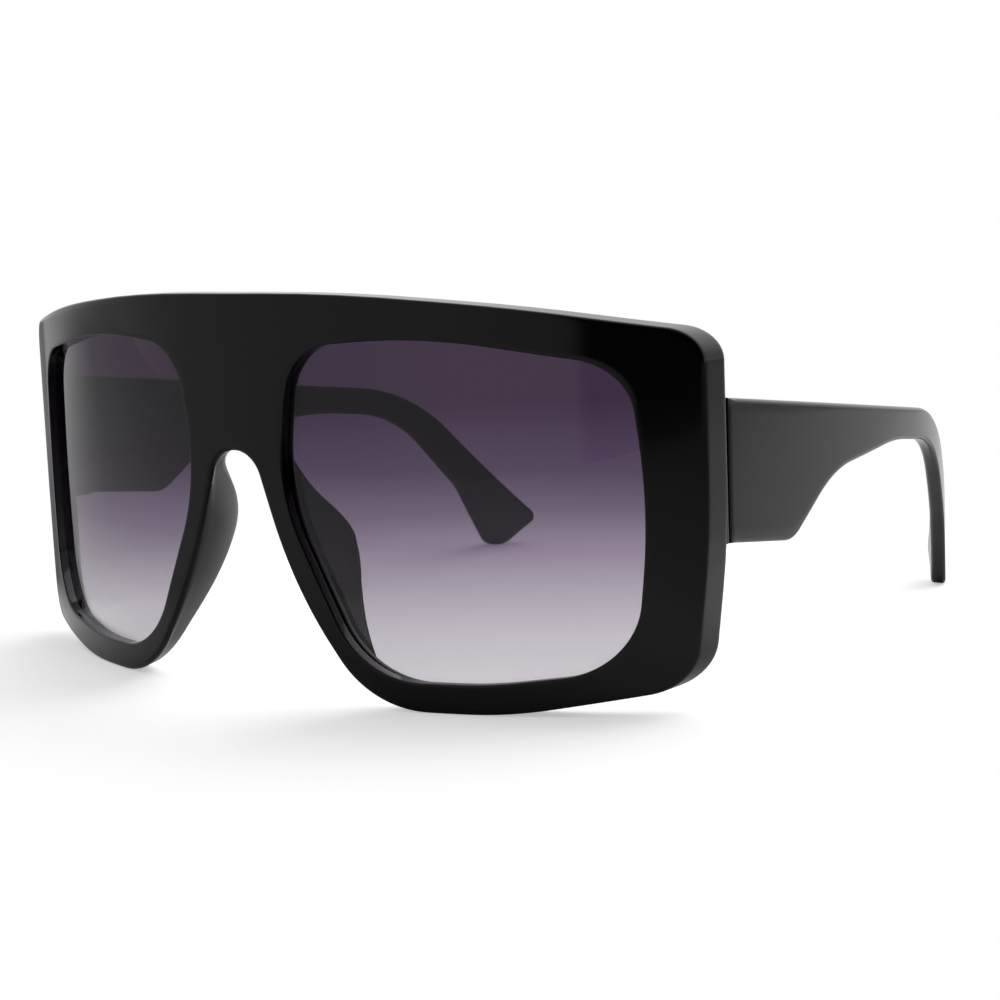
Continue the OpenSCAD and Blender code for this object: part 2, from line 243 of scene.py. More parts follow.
def faced_outwards(merging=False):
    """Turns the active piece's faces outwards, once its doubles are merged where that is asked."""
    bpy.ops.object.mode_set(mode="EDIT")
    bpy.ops.mesh.select_all(action="SELECT")
    if merging:
        bpy.ops.mesh.remove_doubles(threshold=MERGE)
    bpy.ops.mesh.normals_make_consistent(inside=False)
    bpy.ops.object.mode_set(mode="OBJECT")


def next_ring(mesh, ring):
    """Extrudes the edges of a ring of vertices and returns the new ring in the same order."""
    bpy.ops.mesh.select_all(action="DESELECT")
    old = set(ring)
    for vert, other in zip(ring, ring[1:] + ring[:1]):
        mesh.edges.get((vert, other)).select_set(True)
    bpy.ops.mesh.extrude_region()
    made = []
    for vert in ring:
        made.append(next(e.other_vert(vert) for e in vert.link_edges
                         if e.other_vert(vert).select and e.other_vert(vert) not in old))
    return made


def lofted(name, rings):
    """A closed tube through closed rings of points: a circle placed on the first ring and extruded
    from ring to ring, and back on to the first one."""
    bpy.ops.object.select_all(action="DESELECT")
    bpy.ops.mesh.primitive_circle_add(vertices=len(rings[0]), radius=rings[0][0].length)
    piece = bpy.context.object
    piece.name = piece.data.name = name
    piece.matrix_world = Matrix.Identity(4)
    bpy.ops.object.mode_set(mode="EDIT")
    bpy.ops.mesh.select_mode(type="EDGE")
    mesh = bmesh.from_edit_mesh(piece.data)
    ring = list(mesh.verts)
    for vert, place in zip(ring, rings[0]):
        vert.co = place
    for places in rings[1:] + rings[:1]:
        ring = next_ring(mesh, ring)
        for vert, place in zip(ring, places):
            vert.co = place
    bpy.ops.mesh.select_mode(type="VERT")
    bpy.ops.object.mode_set(mode="OBJECT")
    faced_outwards(merging=True)
    return piece


def grid_placed(name, columns):
    """A grid primitive whose vertices are placed on columns of points."""
    bpy.ops.object.select_all(action="DESELECT")
    bpy.ops.mesh.primitive_grid_add(
        x_subdivisions=len(columns) - 1, y_subdivisions=len(columns[0]) - 1, size=columns[0][0].length)
    piece = bpy.context.object
    piece.name = piece.data.name = name
    piece.matrix_world = Matrix.Identity(4)
    wide = len(columns)
    for i, column in enumerate(columns):
        for j, place in enumerate(column):
            piece.data.vertices[j * wide + i].co = place
    return piece


def rim_of(wide, tall):
    """Indices round the rim of a grid: along the bottom, up, back along the top and down."""
    return ([i for i in range(wide)]
            + [j * wide + wide - 1 for j in range(1, tall)]
            + [(tall - 1) * wide + i for i in range(wide - 2, -1, -1)]
            + [j * wide for j in range(tall - 2, 0, -1)])


def columns_between(rim, wide, tall):
    """Columns of points that fill the space inside a rim evenly, edge to edge."""
    low = rim[:wide]
    right = rim[wide - 1:wide + tall - 1]
    high = rim[wide + tall - 2:2 * wide + tall - 2][::-1]
    left = [rim[0]] + rim[2 * wide + tall - 2:][::-1] + [high[0]]
    columns = []
    for i in range(wide):
        u = i / (wide - 1)
        column = []
        for j in range(tall):
            v = j / (tall - 1)
            across = low[i] * (1 - v) + high[i] * v
            along = left[j] * (1 - u) + right[j] * u
            corners = ((low[0] * (1 - u) + low[-1] * u) * (1 - v)
                       + (high[0] * (1 - u) + high[-1] * u) * v)
            column.append(across + along - corners)
        columns.append(column)
    return columns


def plated(name, rim_flat, wide, tall, place, profile):
    """A plate between two faces: a grid on the first face, its rim extruded through the profile,
    and a second grid on the last face. place turns a flat rim point and an (inset, depth) into 3D."""
    def flat_rim(inset):
        return [point + normal * inset for point, normal in rim_flat]

    def face(inset, depth):
        return [[place(p, depth) for p in column]
                for column in columns_between(flat_rim(inset), wide, tall)]

    piece = grid_placed(name, face(*profile[0]))
    selected_alone(piece)
    bpy.ops.object.mode_set(mode="EDIT")
    bpy.ops.mesh.select_mode(type="EDGE")
    mesh = bmesh.from_edit_mesh(piece.data)
    mesh.verts.ensure_lookup_table()
    ring = [mesh.verts[k] for k in rim_of(wide, tall)]
    for inset, depth in profile[1:]:
        ring = next_ring(mesh, ring)
        for vert, point in zip(ring, flat_rim(inset)):
            vert.co = place(point, depth)
    bpy.ops.mesh.select_mode(type="VERT")
    bpy.ops.object.mode_set(mode="OBJECT")
    back = grid_placed(name + "_back", face(*profile[-1]))
    selected_alone(piece)
    back.select_set(True)
    bpy.ops.object.join()
    faced_outwards(merging=True)
    return piece


def mirrored_copy(piece, name):
    """A copy of a piece on the other side of the glasses, with its own mesh facing outwards."""
    selected_alone(piece)
    bpy.ops.object.duplicate()
    copy = bpy.context.object
    copy.name = copy.data.name = name
    copy.scale.x = -1
    bpy.ops.object.transform_apply(location=False, rotation=False, scale=True)
    faced_outwards()
    return copy


def block(name, low, high, bevel=0.0):
    """A box between two corners, with its edges rounded."""
    bpy.ops.object.select_all(action="DESELECT")
    bpy.ops.mesh.primitive_cube_add(size=1, location=(Vector(low) + Vector(high)) / 2)
    made = bpy.context.object
    made.name = name
    made.scale = Vector(high) - Vector(low)
    bpy.ops.object.transform_apply(location=True, rotation=False, scale=True)
    if bevel:
        bpy.ops.object.mode_set(mode="EDIT")
        bpy.ops.mesh.select_all(action="SELECT")
        bpy.ops.mesh.bevel(offset=bevel, segments=4, profile=0.5, affect="EDGES")
        bpy.ops.object.mode_set(mode="OBJECT")
    return made


def combined(piece, tool, operation):
    """Joins a tool to a piece or cuts it out, exactly, and deletes the tool."""
    selected_alone(piece)
    change = piece.modifiers.new(operation.title(), "BOOLEAN")
    change.operation = operation
    change.solver = "EXACT"
    change.object = tool
    bpy.ops.object.modifier_apply(modifier=change.name)
    bpy.data.objects.remove(tool)


def finished(piece, body, stands_for, material):
    """Smooths a piece, gives it its material, fixes it to its body and hides the node it stands for."""
    selected_alone(piece)
    bpy.ops.object.shade_smooth_by_angle(angle=math.radians(30))
    piece.data.materials.clear()
    piece.data.materials.append(material)
    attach(piece, body)
    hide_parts(stands_for)


# Shapes of the front

def half_outline(front):
    """Corners (x, z, radius) of the front's half outline, from the arch round by the nose and the
    side to the top."""
    w, h = front.front_w / 2, front.front_h
    arch_h, arch_r = front.arch_h, front.arch_r
    return [
        (0, arch_h, 0),
        (0.054 * w, arch_h, arch_r), (0.149 * w, 0.472 * arch_h, 14 * arch_r),
        (0.334 * w, 0, 0.28 * h), (0.632 * w, 0, 1.07 * h), (0.972 * w, 0.067 * h, 0.12 * h),
        (w, 0.411 * h, 3 * h), (w, 0.89 * h, 0.085 * h), (0.673 * w, 0.957 * h, 3.5 * h),
        (0.296 * w, h, 4.6 * h),
        (0, h, 0)]


def lens_opening(front):
    """Corners (x, z, radius) of the lens opening, from its upper nose corner down and round."""
    x = front.bridge_w / 2
    z = front.bottom_rim
    w = front.front_w / 2 - front.side_rim - x
    h = front.front_h - front.top_rim - front.bottom_rim
    shares = [(0.057, 0.971, 0.183), (0, 0.549, 0.572), (0.252, 0, 0.295), (0.597, 0, 1.3),
              (0.961, 0.049, 0.23), (1, 0.508, 2.2), (0.961, 0.905, 0.17), (0.47, 1, 1.62)]
    return [(x + u * w, z + v * h, r * h) for u, v, r in shares]


def wrap_y(front, x, depth):
    """Y of the wrapped front at x, at a depth behind its face."""
    return FRONT_Y + front.wrap_r - math.sqrt((front.wrap_r - depth) ** 2 - x ** 2)


def pad_stand(front, z):
    """How far the nose pad stands behind the rear face at a height: a hump, longer below its peak,
    where its foot runs out more slowly."""
    peak_z, above, below = (share * front.arch_h for share in (0.625, 0.39, 0.58))
    away = min(abs(z - peak_z) / (above if z > peak_z else below), 1.0)
    hump = math.cos(math.pi / 2 * away) ** 2
    if z < peak_z:
        hump += 0.4 * (1 - away - hump)
    return front.pad_reach * hump


def front_stations(front, spacing=0.8 * MM):
    """Matching places round the half front: outer point and normal, opening point and normal,
    how much of a nose pad grows there, how much of its splay the wall has, how much of its edges'
    rounding, and how far it belongs to the notch, each from 0 to 1."""
    outer, out = walked(half_outline(front), closed=False)
    inner, into = walked(lens_opening(front), closed=True)
    once = inner[-1][0]
    arch_mate = (into[0] + into[1]) / 2
    pairs = [(out[0], arch_mate), (out[2], (into[1] + into[2]) / 2),
             *zip(out[3:9], into[2:8]), (out[10], into[0] + once)]
    stations = []
    for (s0, t0), (s1, t1) in zip(pairs, pairs[1:]):
        steps = math.ceil(max(s1 - s0, t1 - t0) / spacing)
        for k in range(steps):
            share = k / steps
            point, normal = at(outer, s0 + (s1 - s0) * share)
            mate, mate_normal = at(inner, t0 + (t1 - t0) * share)
            run = s0 + (s1 - s0) * share
            grown = pad_stand(front, point.y) / front.pad_reach if run < out[3] else 0.0
            notch = 1 - smooth_step(out[3], out[4], run)
            splayed = notch if run else 0.0
            stations.append((point, normal, mate, -mate_normal, grown, splayed, 1.0, notch))
    top, top_normal = at(outer, out[10])
    mate, mate_normal = at(inner, into[0])
    stations.append((top, top_normal, mate, -mate_normal, 0.0, 0.0, 1.0, 0.0))
    least_spacing = 1.3 * max(front.edge_r, front.rear_edge_r, front.notch_edge_r, front.arch_rear_r)
    steps = math.floor((front.front_h - front.arch_h) / least_spacing)
    for k in range(1, steps):
        share = k / steps
        point = Vector((0, front.front_h + (front.arch_h - front.front_h) * share))
        mate, mate_normal = at(inner, into[0] + (arch_mate - into[0]) * share)
        stations.append((point, Vector((0, 0)), mate, -mate_normal, 0.0, 0.0, 0.0, 0.0))
    return stations


def quarter(steps):
    """Sine and cosine along a quarter turn."""
    return [(math.sin(math.pi / 2 * k / steps), math.cos(math.pi / 2 * k / steps))
            for k in range(steps + 1)]


def front_section(front, lens, opening, station):
    """The points round the rim at one station: over the front face, down into the opening and its
    groove, and back over the rear face, the nose pad and the outer wall. The pad is as thick as the
    rim leaves room for."""
    point, normal, mate, mate_normal, grown, splayed, rounded, notch = station
    thick = front.front_t
    points = []

    def put(flat, depth):
        points.append(Vector((flat.x, wrap_y(front, flat.x, depth), flat.y)))

    def face(start, end, depth, steps=10):
        for k in range(1, steps):
            put(start.lerp(end, k / steps), depth)

    edge_r = (front.edge_r + (front.notch_edge_r - front.edge_r) * notch) * rounded
    arched = notch * smooth_step(0.78 * front.arch_h, 0.96 * front.arch_h, point.y)
    rear_r = (front.rear_edge_r + (front.arch_rear_r - front.rear_edge_r) * arched) * rounded
    opening_r = front.opening_r
    for sine, cosine in quarter(7):
        put(point + normal * edge_r * (1 - cosine), edge_r * (1 - sine))
    face(point + normal * edge_r, mate + mate_normal * opening_r, 0)
    for sine, cosine in quarter(4):
        put(mate + mate_normal * opening_r * (1 - sine), opening_r * (1 - cosine))
    groove_from = lens.lens_recess - lens.lens_play
    groove_to = lens.lens_recess + lens.lens_t + lens.lens_play
    for inset, depth in ((0, groove_from), (lens.groove_d, groove_from),
                         (lens.groove_d, groove_to), (lens.snap_step, groove_to)):
        put(mate + mate_normal * inset, depth)
    snap_r = lens.snap_r
    for sine, cosine in quarter(4):
        put(mate + mate_normal * (lens.snap_step + snap_r * (1 - cosine)), thick - snap_r * (1 - sine))

    rim_w = min((point - place).length for place in (mate, *opening)) if rounded else rear_r
    face_y, rear_y = (wrap_y(front, point.x, depth) for depth in (0, thick))
    stand = front.pad_reach * grown
    full_depth = thick + front.pad_reach
    splay = math.tan(front.pad_splay) * splayed
    bend = 0.8 * grown

    def lean(y):
        run = (y - face_y) / full_depth
        return Vector((splay * full_depth * (run + bend * (run * run - run)), 0))

    ramp = smooth_step(0.0, 0.3, grown)
    fillet = (0.3 * MM + 0.3 * MM * ramp) * rounded
    least_t = 1.02 * rear_r
    lip_w = lens.snap_step + snap_r
    pad_t = least_t + (front.pad_t - least_t) * ramp
    pad_t = min(pad_t, max(rim_w - lip_w - lean(rear_y).x - fillet, least_t))
    rise = min(fillet, 0.5 * stand)
    crown = 0.45 * pad_t
    crown_rise = min(crown, 0.5 * stand)

    def behind(inset, beyond):
        flat = point + normal * inset + lean(rear_y + beyond)
        y = wrap_y(front, flat.x, thick) if beyond == 0 else rear_y + beyond
        points.append(Vector((flat.x, y, flat.y)))

    face(mate + mate_normal * lip_w, point + normal * (pad_t + fillet) + lean(rear_y), thick)
    for sine, cosine in quarter(4):
        behind(pad_t + fillet * (1 - sine), rise * (1 - cosine))
    for k in range(1, 5):
        behind(pad_t, rise + (stand - crown_rise - rise) * k / 5)
    for sine, cosine in quarter(5):
        behind(pad_t - crown * (1 - cosine), stand - crown_rise * (1 - sine))
    for sine, cosine in quarter(6):
        behind(rear_r * (1 - sine), stand - rear_r * (1 - cosine))
    last_y = rear_y + stand - rear_r
    first_y = points[0].y
    for k in range(1, 8):
        y = last_y + (first_y - last_y) * k / 8
        flat = point + lean(y)
        points.append(Vector((flat.x, y, flat.y)))
    return points


def half_front(front, lens):
    """The wearer's left half of the front, closed by a flat wall in the middle."""
    outline, _ = walked(lens_opening(front), closed=True)
    opening = [Vector(p[1:3]) for p in outline]
    sections = [front_section(front, lens, opening, station) for station in front_stations(front)]
    return lofted("front", [list(ring) for ring in zip(*sections)])


def joint_y(front, temple):
    """Y of the face where the end piece meets the temple."""
    return wrap_y(front, front.front_w / 2, front.front_t) + temple.rear_lip


def add_end_piece(half, front, lens, temple):
    """Joins the end piece to the half front, with a web behind the rim and a lip beside the joint,
    and cuts the seat of the hinge leaf into it."""
    joint = joint_y(front, temple)
    top = front.front_h - temple.temple_step
    low = top - temple.plate_h
    side = front.front_w / 2 - 1.5 * temple.temple_inset
    inner = front.front_w / 2 - temple.temple_inset - temple.temple_t
    hinge_low, hinge_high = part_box("left_front_hinge")
    web = front.front_w / 2 - front.side_rim + 0.8 * lens.groove_d
    into = wrap_y(front, web, front.front_t) - 0.4 * MM
    lip = hinge_low.y - 0.25 * MM
    overlap, seat_d = 2 * MM, 0.95 * MM
    combined(half, block("web", (web, into, low), (side, lip, top), 0.3 * MM), "UNION")
    combined(half, block("lip", (inner - PLAY, lip - overlap, low), (side, joint, top), 0.15 * MM), "UNION")
    combined(half, block("seat", (inner - PLAY, joint - seat_d, hinge_low.z - PLAY),
                         (hinge_high.x + PLAY, joint + PLAY, hinge_high.z + PLAY)), "DIFFERENCE")


def mirror_half(half):
    """Opens the half front's wall in the middle and adds the other half."""
    selected_alone(half)
    bpy.ops.object.mode_set(mode="EDIT")
    mesh = bmesh.from_edit_mesh(half.data)
    bpy.ops.mesh.select_mode(type="FACE")
    bpy.ops.mesh.select_all(action="DESELECT")
    for face in mesh.faces:
        face.select_set(all(abs(v.co.x) < MERGE for v in face.verts))
    bpy.ops.mesh.delete(type="FACE")
    bpy.ops.object.mode_set(mode="OBJECT")
    other = half.modifiers.new("Other half", "MIRROR")
    other.merge_threshold = 10 * MERGE
    bpy.ops.object.modifier_apply(modifier=other.name)
    faced_outwards()


# Shapes of the temples

def temple_top(temple, top, y):
    """Height of the temple's top edge at a distance behind the joint."""
    return top - y * math.tan(temple.temple_fall)


def temple_outline(temple, top, height):
    """Corners of the temple seen from the side, from the joint's top along the ear and back below.
    Each is a distance behind the joint, a height and a radius, mostly as a share of the reach."""
    reach, cut = temple.temple_reach, temple.cut_l

    def under(y, tall):
        return temple_top(temple, top, y) - tall

    ear_y, slim_y, cut_y = 0.77 * reach, SLIM_SHARE * reach, temple.plate_l + cut
    tip = 0.1 * height
    return [
        (temple.joint_gap, temple_top(temple, top, temple.joint_gap), 0),
        (ear_y, temple_top(temple, top, ear_y), 0.293 * reach),
        (reach, tip, 0.011 * reach), (reach, 0.74 * tip, 0.011 * reach),
        (0.946 * reach, 0, 0.03 * reach), (0.92 * reach, 0, 0.03 * reach),
        (0.865 * reach, 0.214 * height, 0.09 * reach),
        (0.743 * reach, under(0.743 * reach, temple.ear_h), 0.205 * reach),
        (slim_y, under(slim_y, temple.bar_h), 0.5 * reach),
        (cut_y, under(cut_y, temple.bar_root_h), 1.9 * cut),
        (temple.plate_l, under(temple.plate_l, temple.plate_h), 0.42 * cut),
        (temple.joint_gap, top - temple.plate_h, 0)]


class Bow:
    """The temple seen from above: an outer bow, then the ear's tighter curve, and the same inside."""

    def __init__(self, front, temple):
        reach, bow_r, ear_r = temple.temple_reach, temple.bow_r, temple.ear_r
        outer_x = front.front_w / 2 - temple.temple_inset
        self.inner_x = outer_x - temple.temple_t
        lead, end = 0.05 * reach, 0.63 * reach  # where the bow runs straight back and where it ends
        turn = math.asin((end - lead) / bow_r)
        way = Vector((math.cos(turn), math.sin(turn)))
        bow = Vector((outer_x - math.sqrt(bow_r ** 2 - lead ** 2), lead))
        ear = bow + (bow_r - ear_r) * way
        meet = bow + (bow_r - temple.ear_t) * way
        back = Vector((self.inner_x, 0)) - meet
        inner_r = -back.dot(back) / (2 * back.dot(way))
        self.outer = (bow, bow_r, (bow + bow_r * way).y, ear, ear_r)
        self.inner = (meet - inner_r * way, inner_r, meet.y, ear, ear_r - temple.ear_t)

    @staticmethod
    def across(curve, y):
        """X of one of the two curves at a distance behind the joint."""
        centre, radius, change, ear, ear_r = curve
        if y > change:
            centre, radius = ear, ear_r
        return centre.x + math.sqrt(radius ** 2 - (y - centre.y) ** 2)


def stretch_of(points, start, end, count):
    """Evenly spaced places and normals between two lengths of a walked outline."""
    return [at(points, start + (end - start) * k / (count - 1)) for k in range(count)]


def temple_piece(name, front, temple, wide=150, tall=14):
    """The wearer's left temple: both faces and the rounded edges."""
    top = front.front_h - temple.temple_step
    outline, marks = walked(temple_outline(temple, top, front.front_h), closed=True)
    once = outline[-1][0]
    joint_top, ear, tip_top, tip_end, _, toe, paddle, under_ear, slim, root, plate, joint_low = marks

    def along_top(y):
        return joint_top + (y - temple.joint_gap) / math.cos(temple.temple_fall)

    tip_a, tip_b = (tip_top + tip_end) / 2, toe
    # places on the lower and the upper edge that face each other
    facing = [(joint_low, joint_top), (plate, along_top(temple.plate_l)),
              (root, along_top(temple.plate_l + temple.cut_l)),
              (slim, along_top(SLIM_SHARE * temple.temple_reach)), (under_ear, ear),
              (paddle, ear + 0.62 * (tip_a - ear)), (tip_b, tip_a)]
    low, high = [], []
    span = tip_a - joint_top
    for (low_0, high_0), (low_1, high_1) in zip(facing, facing[1:]):
        steps = max(2, round((wide - 1) * (high_1 - high_0) / span))
        for k in range(steps):
            low.append(at(outline, low_0 + (low_1 - low_0) * k / steps))
            high.append(at(outline, high_0 + (high_1 - high_0) * k / steps))
    low.append(at(outline, tip_b))
    high.append(at(outline, tip_a))
    wide = len(low)
    tip_side = stretch_of(outline, tip_b, tip_a, tall)
    joint_side = stretch_of(outline, joint_low, once, tall)
    joint_side[-1] = high[0]
    rim = low + tip_side[1:-1] + high[::-1] + joint_side[1:-1][::-1]
    rim = [(point, -normal) for point, normal in rim]

    bow = Bow(front, temple)
    joint = joint_y(front, temple)

    def edge_r(y):
        first, last = 0.3 * MM, 2.5 * MM  # the rounding grows between these
        low_r, high_r = temple.joint_edge_r, temple.temple_edge_r
        return low_r + (high_r - low_r) * smooth_step(first, last, y)

    def place(flat, depth):
        side, share = depth  # which face it is measured from, and how far in
        outer, inner = Bow.across(bow.outer, flat.x), Bow.across(bow.inner, flat.x)
        r = edge_r(flat.x)
        x = outer - share * r if side == "outer" else inner + share * r
        if side == "between":
            x = outer - r + (inner - outer + 2 * r) * share
        return Vector((x, joint + flat.x, flat.y))

    outer_round = [((1 - s), ("outer", 1 - c)) for s, c in quarter(5)]
    between = [(0.0, ("between", k / 3)) for k in (1, 2)]
    inner_round = [((1 - c), ("inner", 1 - s)) for s, c in quarter(5)]
    profile = outer_round + between + inner_round
    rim = [(p, n, edge_r(p.x)) for p, n in rim]
    return plated(name, [(p, n * r) for p, n, r in rim], wide, tall, place, profile)


def lens_piece(name, front, lens, wide=64, tall=64):
    """The wearer's left lens: two wrapped faces and a bevelled edge that sits in the groove."""
    outline, marks = walked(lens_opening(front), closed=True)
    once = outline[-1][0]
    nose_top, _, nose_low, _, side_low, _, side_top, _ = marks
    low = stretch_of(outline, nose_low, side_low, wide)
    right = stretch_of(outline, side_low, side_top, tall)
    high = stretch_of(outline, nose_top + once, side_top, wide)
    left = stretch_of(outline, nose_low, nose_top, tall)
    rim = low + right[1:-1] + high[::-1] + left[1:-1][::-1]
    grow = lens.groove_d - lens.lens_play
    rim = [(point - normal * grow, normal) for point, normal in rim]
    bevel, thick = lens.lens_bevel, lens.lens_t

    def place(flat, depth):
        return Vector((flat.x, wrap_y(front, flat.x, lens.lens_recess + depth), flat.y))

    profile = [(bevel, 0.0), (0.0, bevel), (0.0, thick - bevel), (bevel, thick)]
    return plated(name, rim, wide, tall, place, profile)


# Materials

def linear(hex_colour):
    """A linear RGBA colour from sRGB hex."""
    parts = [int(hex_colour[k:k + 2], 16) / 255 for k in (1, 3, 5)]
    return [p / 12.92 if p <= 0.04045 else ((p + 0.055) / 1.055) ** 2.4 for p in parts] + [1.0]


def added(tree, kind, inputs=(), stops=(), **settings):
    """Adds a node, sets its properties and its ramp's stops, and sets or links its inputs, given by
    name or in order. A node given as an input passes on the first output that it uses."""
    node = tree.nodes.new("ShaderNode" + kind)
    for name, value in settings.items():
        setattr(node, name, value)
    for name, value in (inputs if isinstance(inputs, dict) else dict(enumerate(inputs))).items():
        if isinstance(value, bpy.types.Node):
            value = next(socket for socket in value.outputs if socket.enabled)
        if isinstance(value, bpy.types.NodeSocket):
            tree.links.new(value, node.inputs[name])
        else:
            node.inputs[name].default_value = value
    if stops:
        elements = node.color_ramp.elements
        elements[0].position, elements[0].color = stops[0]
        elements[1].position, elements[1].color = stops[-1]
        for position, shade in stops[1:-1]:
            elements.new(position).color = shade
    return node


def along(tree, place, way, low, high, first=0.0, last=1.0, **settings):
    """A number that goes from first to last where the place, measured along a way, goes from low
    to high."""
    run = added(tree, "VectorMath", (place, way), operation="DOT_PRODUCT")
    return added(tree, "MapRange", (run, low, high, first, last), **settings)


def greys(pairs):
    """Ramp stops from pairs of a position and a brightness."""
    return [(position, (value, value, value, 1)) for position, value in pairs]


def new_material(name):
    """An empty material and its node tree."""
    material = bpy.data.materials.new(name)
    material.use_nodes = True
    tree = material.node_tree
    tree.nodes.clear()
    return material, tree


def moulded_gloss_plastic(name, base, polish, ior):
    """Injection-moulded polycarbonate, polished black: deep gloss, with the faint long waves that a
    mould leaves, softer patches from handling and hair-fine wiping marks drawn 0.3 mm apart."""
    material, tree = new_material(name)
    place = added(tree, "TexCoord").outputs["Object"]
    waves = added(tree, "TexNoise", {"Vector": place, "Scale": 1 / (9 * MM), "Detail": 1.0})
    handling = added(tree, "TexNoise", {"Vector": place, "Scale": 1 / (14 * MM), "Detail": 4.0,
                                        "Roughness": 0.65})
    wiped = added(tree, "Mapping", {"Vector": place, "Rotation": (0.3, 0.5, 0.7), "Scale": (1, 0.05, 1)})
    hairs = added(tree, "TexNoise", {"Vector": wiped, "Scale": 1 / (0.3 * MM), "Detail": 2.0})
    blend = added(tree, "Math", (handling, 0.8), operation="MULTIPLY")
    blend = added(tree, "Math", (hairs, 0.2, blend), operation="MULTIPLY_ADD")
    rough = added(tree, "MapRange", (blend, 0.3, 0.7, polish - 0.03, polish + 0.05))
    bump = added(tree, "Bump", {"Height": waves, "Strength": 0.12, "Distance": 0.05 * MM})
    shader = added(tree, "BsdfPrincipled", {
        "Base Color": linear(base), "Roughness": rough, "IOR": ior, "Normal": bump})
    added(tree, "OutputMaterial", (shader,))
    return material


def tinted_lens(front, finishes):
    """Polycarbonate lens dyed in a bath and drawn out slowly: dark purple grey at its top, fading
    evenly to nearly clear at its foot, with polished faces. Light that crosses it at a slant has a
    longer way through it, so it is darker there."""
    material, tree = new_material("gradient_polycarbonate")
    place = added(tree, "TexCoord").outputs["Object"]
    height = added(tree, "SeparateXYZ", (place,)).outputs["Z"]
    share = added(tree, "MapRange", (height, front.bottom_rim, front.front_h - front.top_rim))
    drift = added(tree, "TexNoise", {"Vector": place, "Scale": 1 / (25 * MM), "Detail": 1.0})
    wander = added(tree, "Math", (drift, 0.03, share), operation="MULTIPLY_ADD")
    tint = added(tree, "ValToRGB", (wander,), [
        (0.01, linear(finishes.tint_foot)), (0.17, linear(finishes.tint_low)),
        (0.4, linear(finishes.tint_lower)), (0.62, linear(finishes.tint_upper)),
        (0.82, linear(finishes.tint_top))])
    slant = added(tree, "LayerWeight", {"Blend": 0.5}).outputs["Facing"]
    path = added(tree, "Math", (slant, 0.57, 1.0), operation="MULTIPLY_ADD")
    longer = added(tree, "Gamma", (tint, path))
    shader = added(tree, "BsdfPrincipled", {
        "Base Color": longer, "Roughness": 0.02, "IOR": 1.58, "Transmission Weight": 1.0})
    added(tree, "OutputMaterial", (shader,))
    return material


def plated_metal(name, base, rough, grain):
    """Steel with black nickel plating: dark and satin, with a fine brushed grain, finer than shown."""
    material, tree = new_material(name)
    place = added(tree, "TexCoord").outputs["Object"]
    drawn = added(tree, "Mapping", {"Vector": place, "Scale": (1, 1, 0.08)})
    lines = added(tree, "TexNoise", {"Vector": drawn, "Scale": 1 / grain, "Detail": 3.0})
    satin = added(tree, "MapRange", (lines, 0, 1, rough - 0.08, rough + 0.1))
    bump = added(tree, "Bump", {"Height": lines, "Strength": 0.25, "Distance": 0.01 * MM})
    shader = added(tree, "BsdfPrincipled", {
        "Base Color": linear(base), "Metallic": 1.0, "Roughness": satin, "Normal": bump})
    added(tree, "OutputMaterial", (shader,))
    return material


# Operators: one for each group of pieces, and one for the stage

class SUNGLASSES_OT_front(bpy.types.Operator):
    """Model the moulded front with its rims, nose pads and end pieces"""

    bl_idname = "sunglasses.front"
    bl_label = "Add Front"

    def execute(self, context):
        front, lens, temple = sizes()
        half = half_front(front, lens)
        add_end_piece(half, front, lens, temple)
        mirror_half(half)
        half.name = half.data.name = "moulded_front"
        black = moulded_gloss_plastic("polished_black_front",
                                      context.scene.sunglasses_finish.front_black, 0.1, 1.51)
        finished(half, "front", "front_frame", black)
        return {"FINISHED"}


class SUNGLASSES_OT_lenses(bpy.types.Operator):
    """Model the two gradient lenses"""

    bl_idname = "sunglasses.lenses"
    bl_label = "Add Lenses"

    def execute(self, context):
        front, lens, _ = sizes()
        left = lens_piece("left_gradient_lens", front, lens)
        right = mirrored_copy(left, "right_gradient_lens")
        tint = tinted_lens(front, context.scene.sunglasses_finish)
        finished(left, "front", "left_lens", tint)
        finished(right, "front", "right_lens", tint)
        return {"FINISHED"}


class SUNGLASSES_OT_temples(bpy.types.Operator):
    """Model the two folding temples"""

    bl_idname = "sunglasses.temples"
    bl_label = "Add Temples"

    def execute(self, context):
        front, _, temple = sizes()
        left = temple_piece("left_moulded_temple", front, temple)
        low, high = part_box("left_temple_hinge")
        pocket = block("pocket", (low.x, joint_y(front, temple), low.z - PLAY),
                       (high.x + PLAY, high.y + PLAY, high.z + PLAY))
        combined(left, pocket, "DIFFERENCE")
        right = mirrored_copy(left, "right_moulded_temple")
        black = moulded_gloss_plastic("polished_black_temple",
                                      context.scene.sunglasses_finish.temple_black, 0.13, 1.58)
        finished(left, "left_arm", "left_temple", black)
        finished(right, "right_arm", "right_temple", black)
        return {"FINISHED"}


class SUNGLASSES_OT_hinges(bpy.types.Operator):
    """Give the metal hinge leaves and the screws their finish"""

    bl_idname = "sunglasses.hinges"
    bl_label = "Finish Hinges"

    def execute(self, context):
        finish = context.scene.sunglasses_finish
        nickel = plated_metal("black_nickel_hinge", finish.hinge_metal, 0.32, 0.12 * MM)
        steel = plated_metal("black_nickel_screw", finish.screw_metal, 0.25, 0.08 * MM)
        for name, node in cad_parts.items():
            if name.endswith("_hinge") or "screw" in name:
                node.data.materials.clear()
                node.data.materials.append(steel if "screw" in name else nickel)
        return {"FINISHED"}


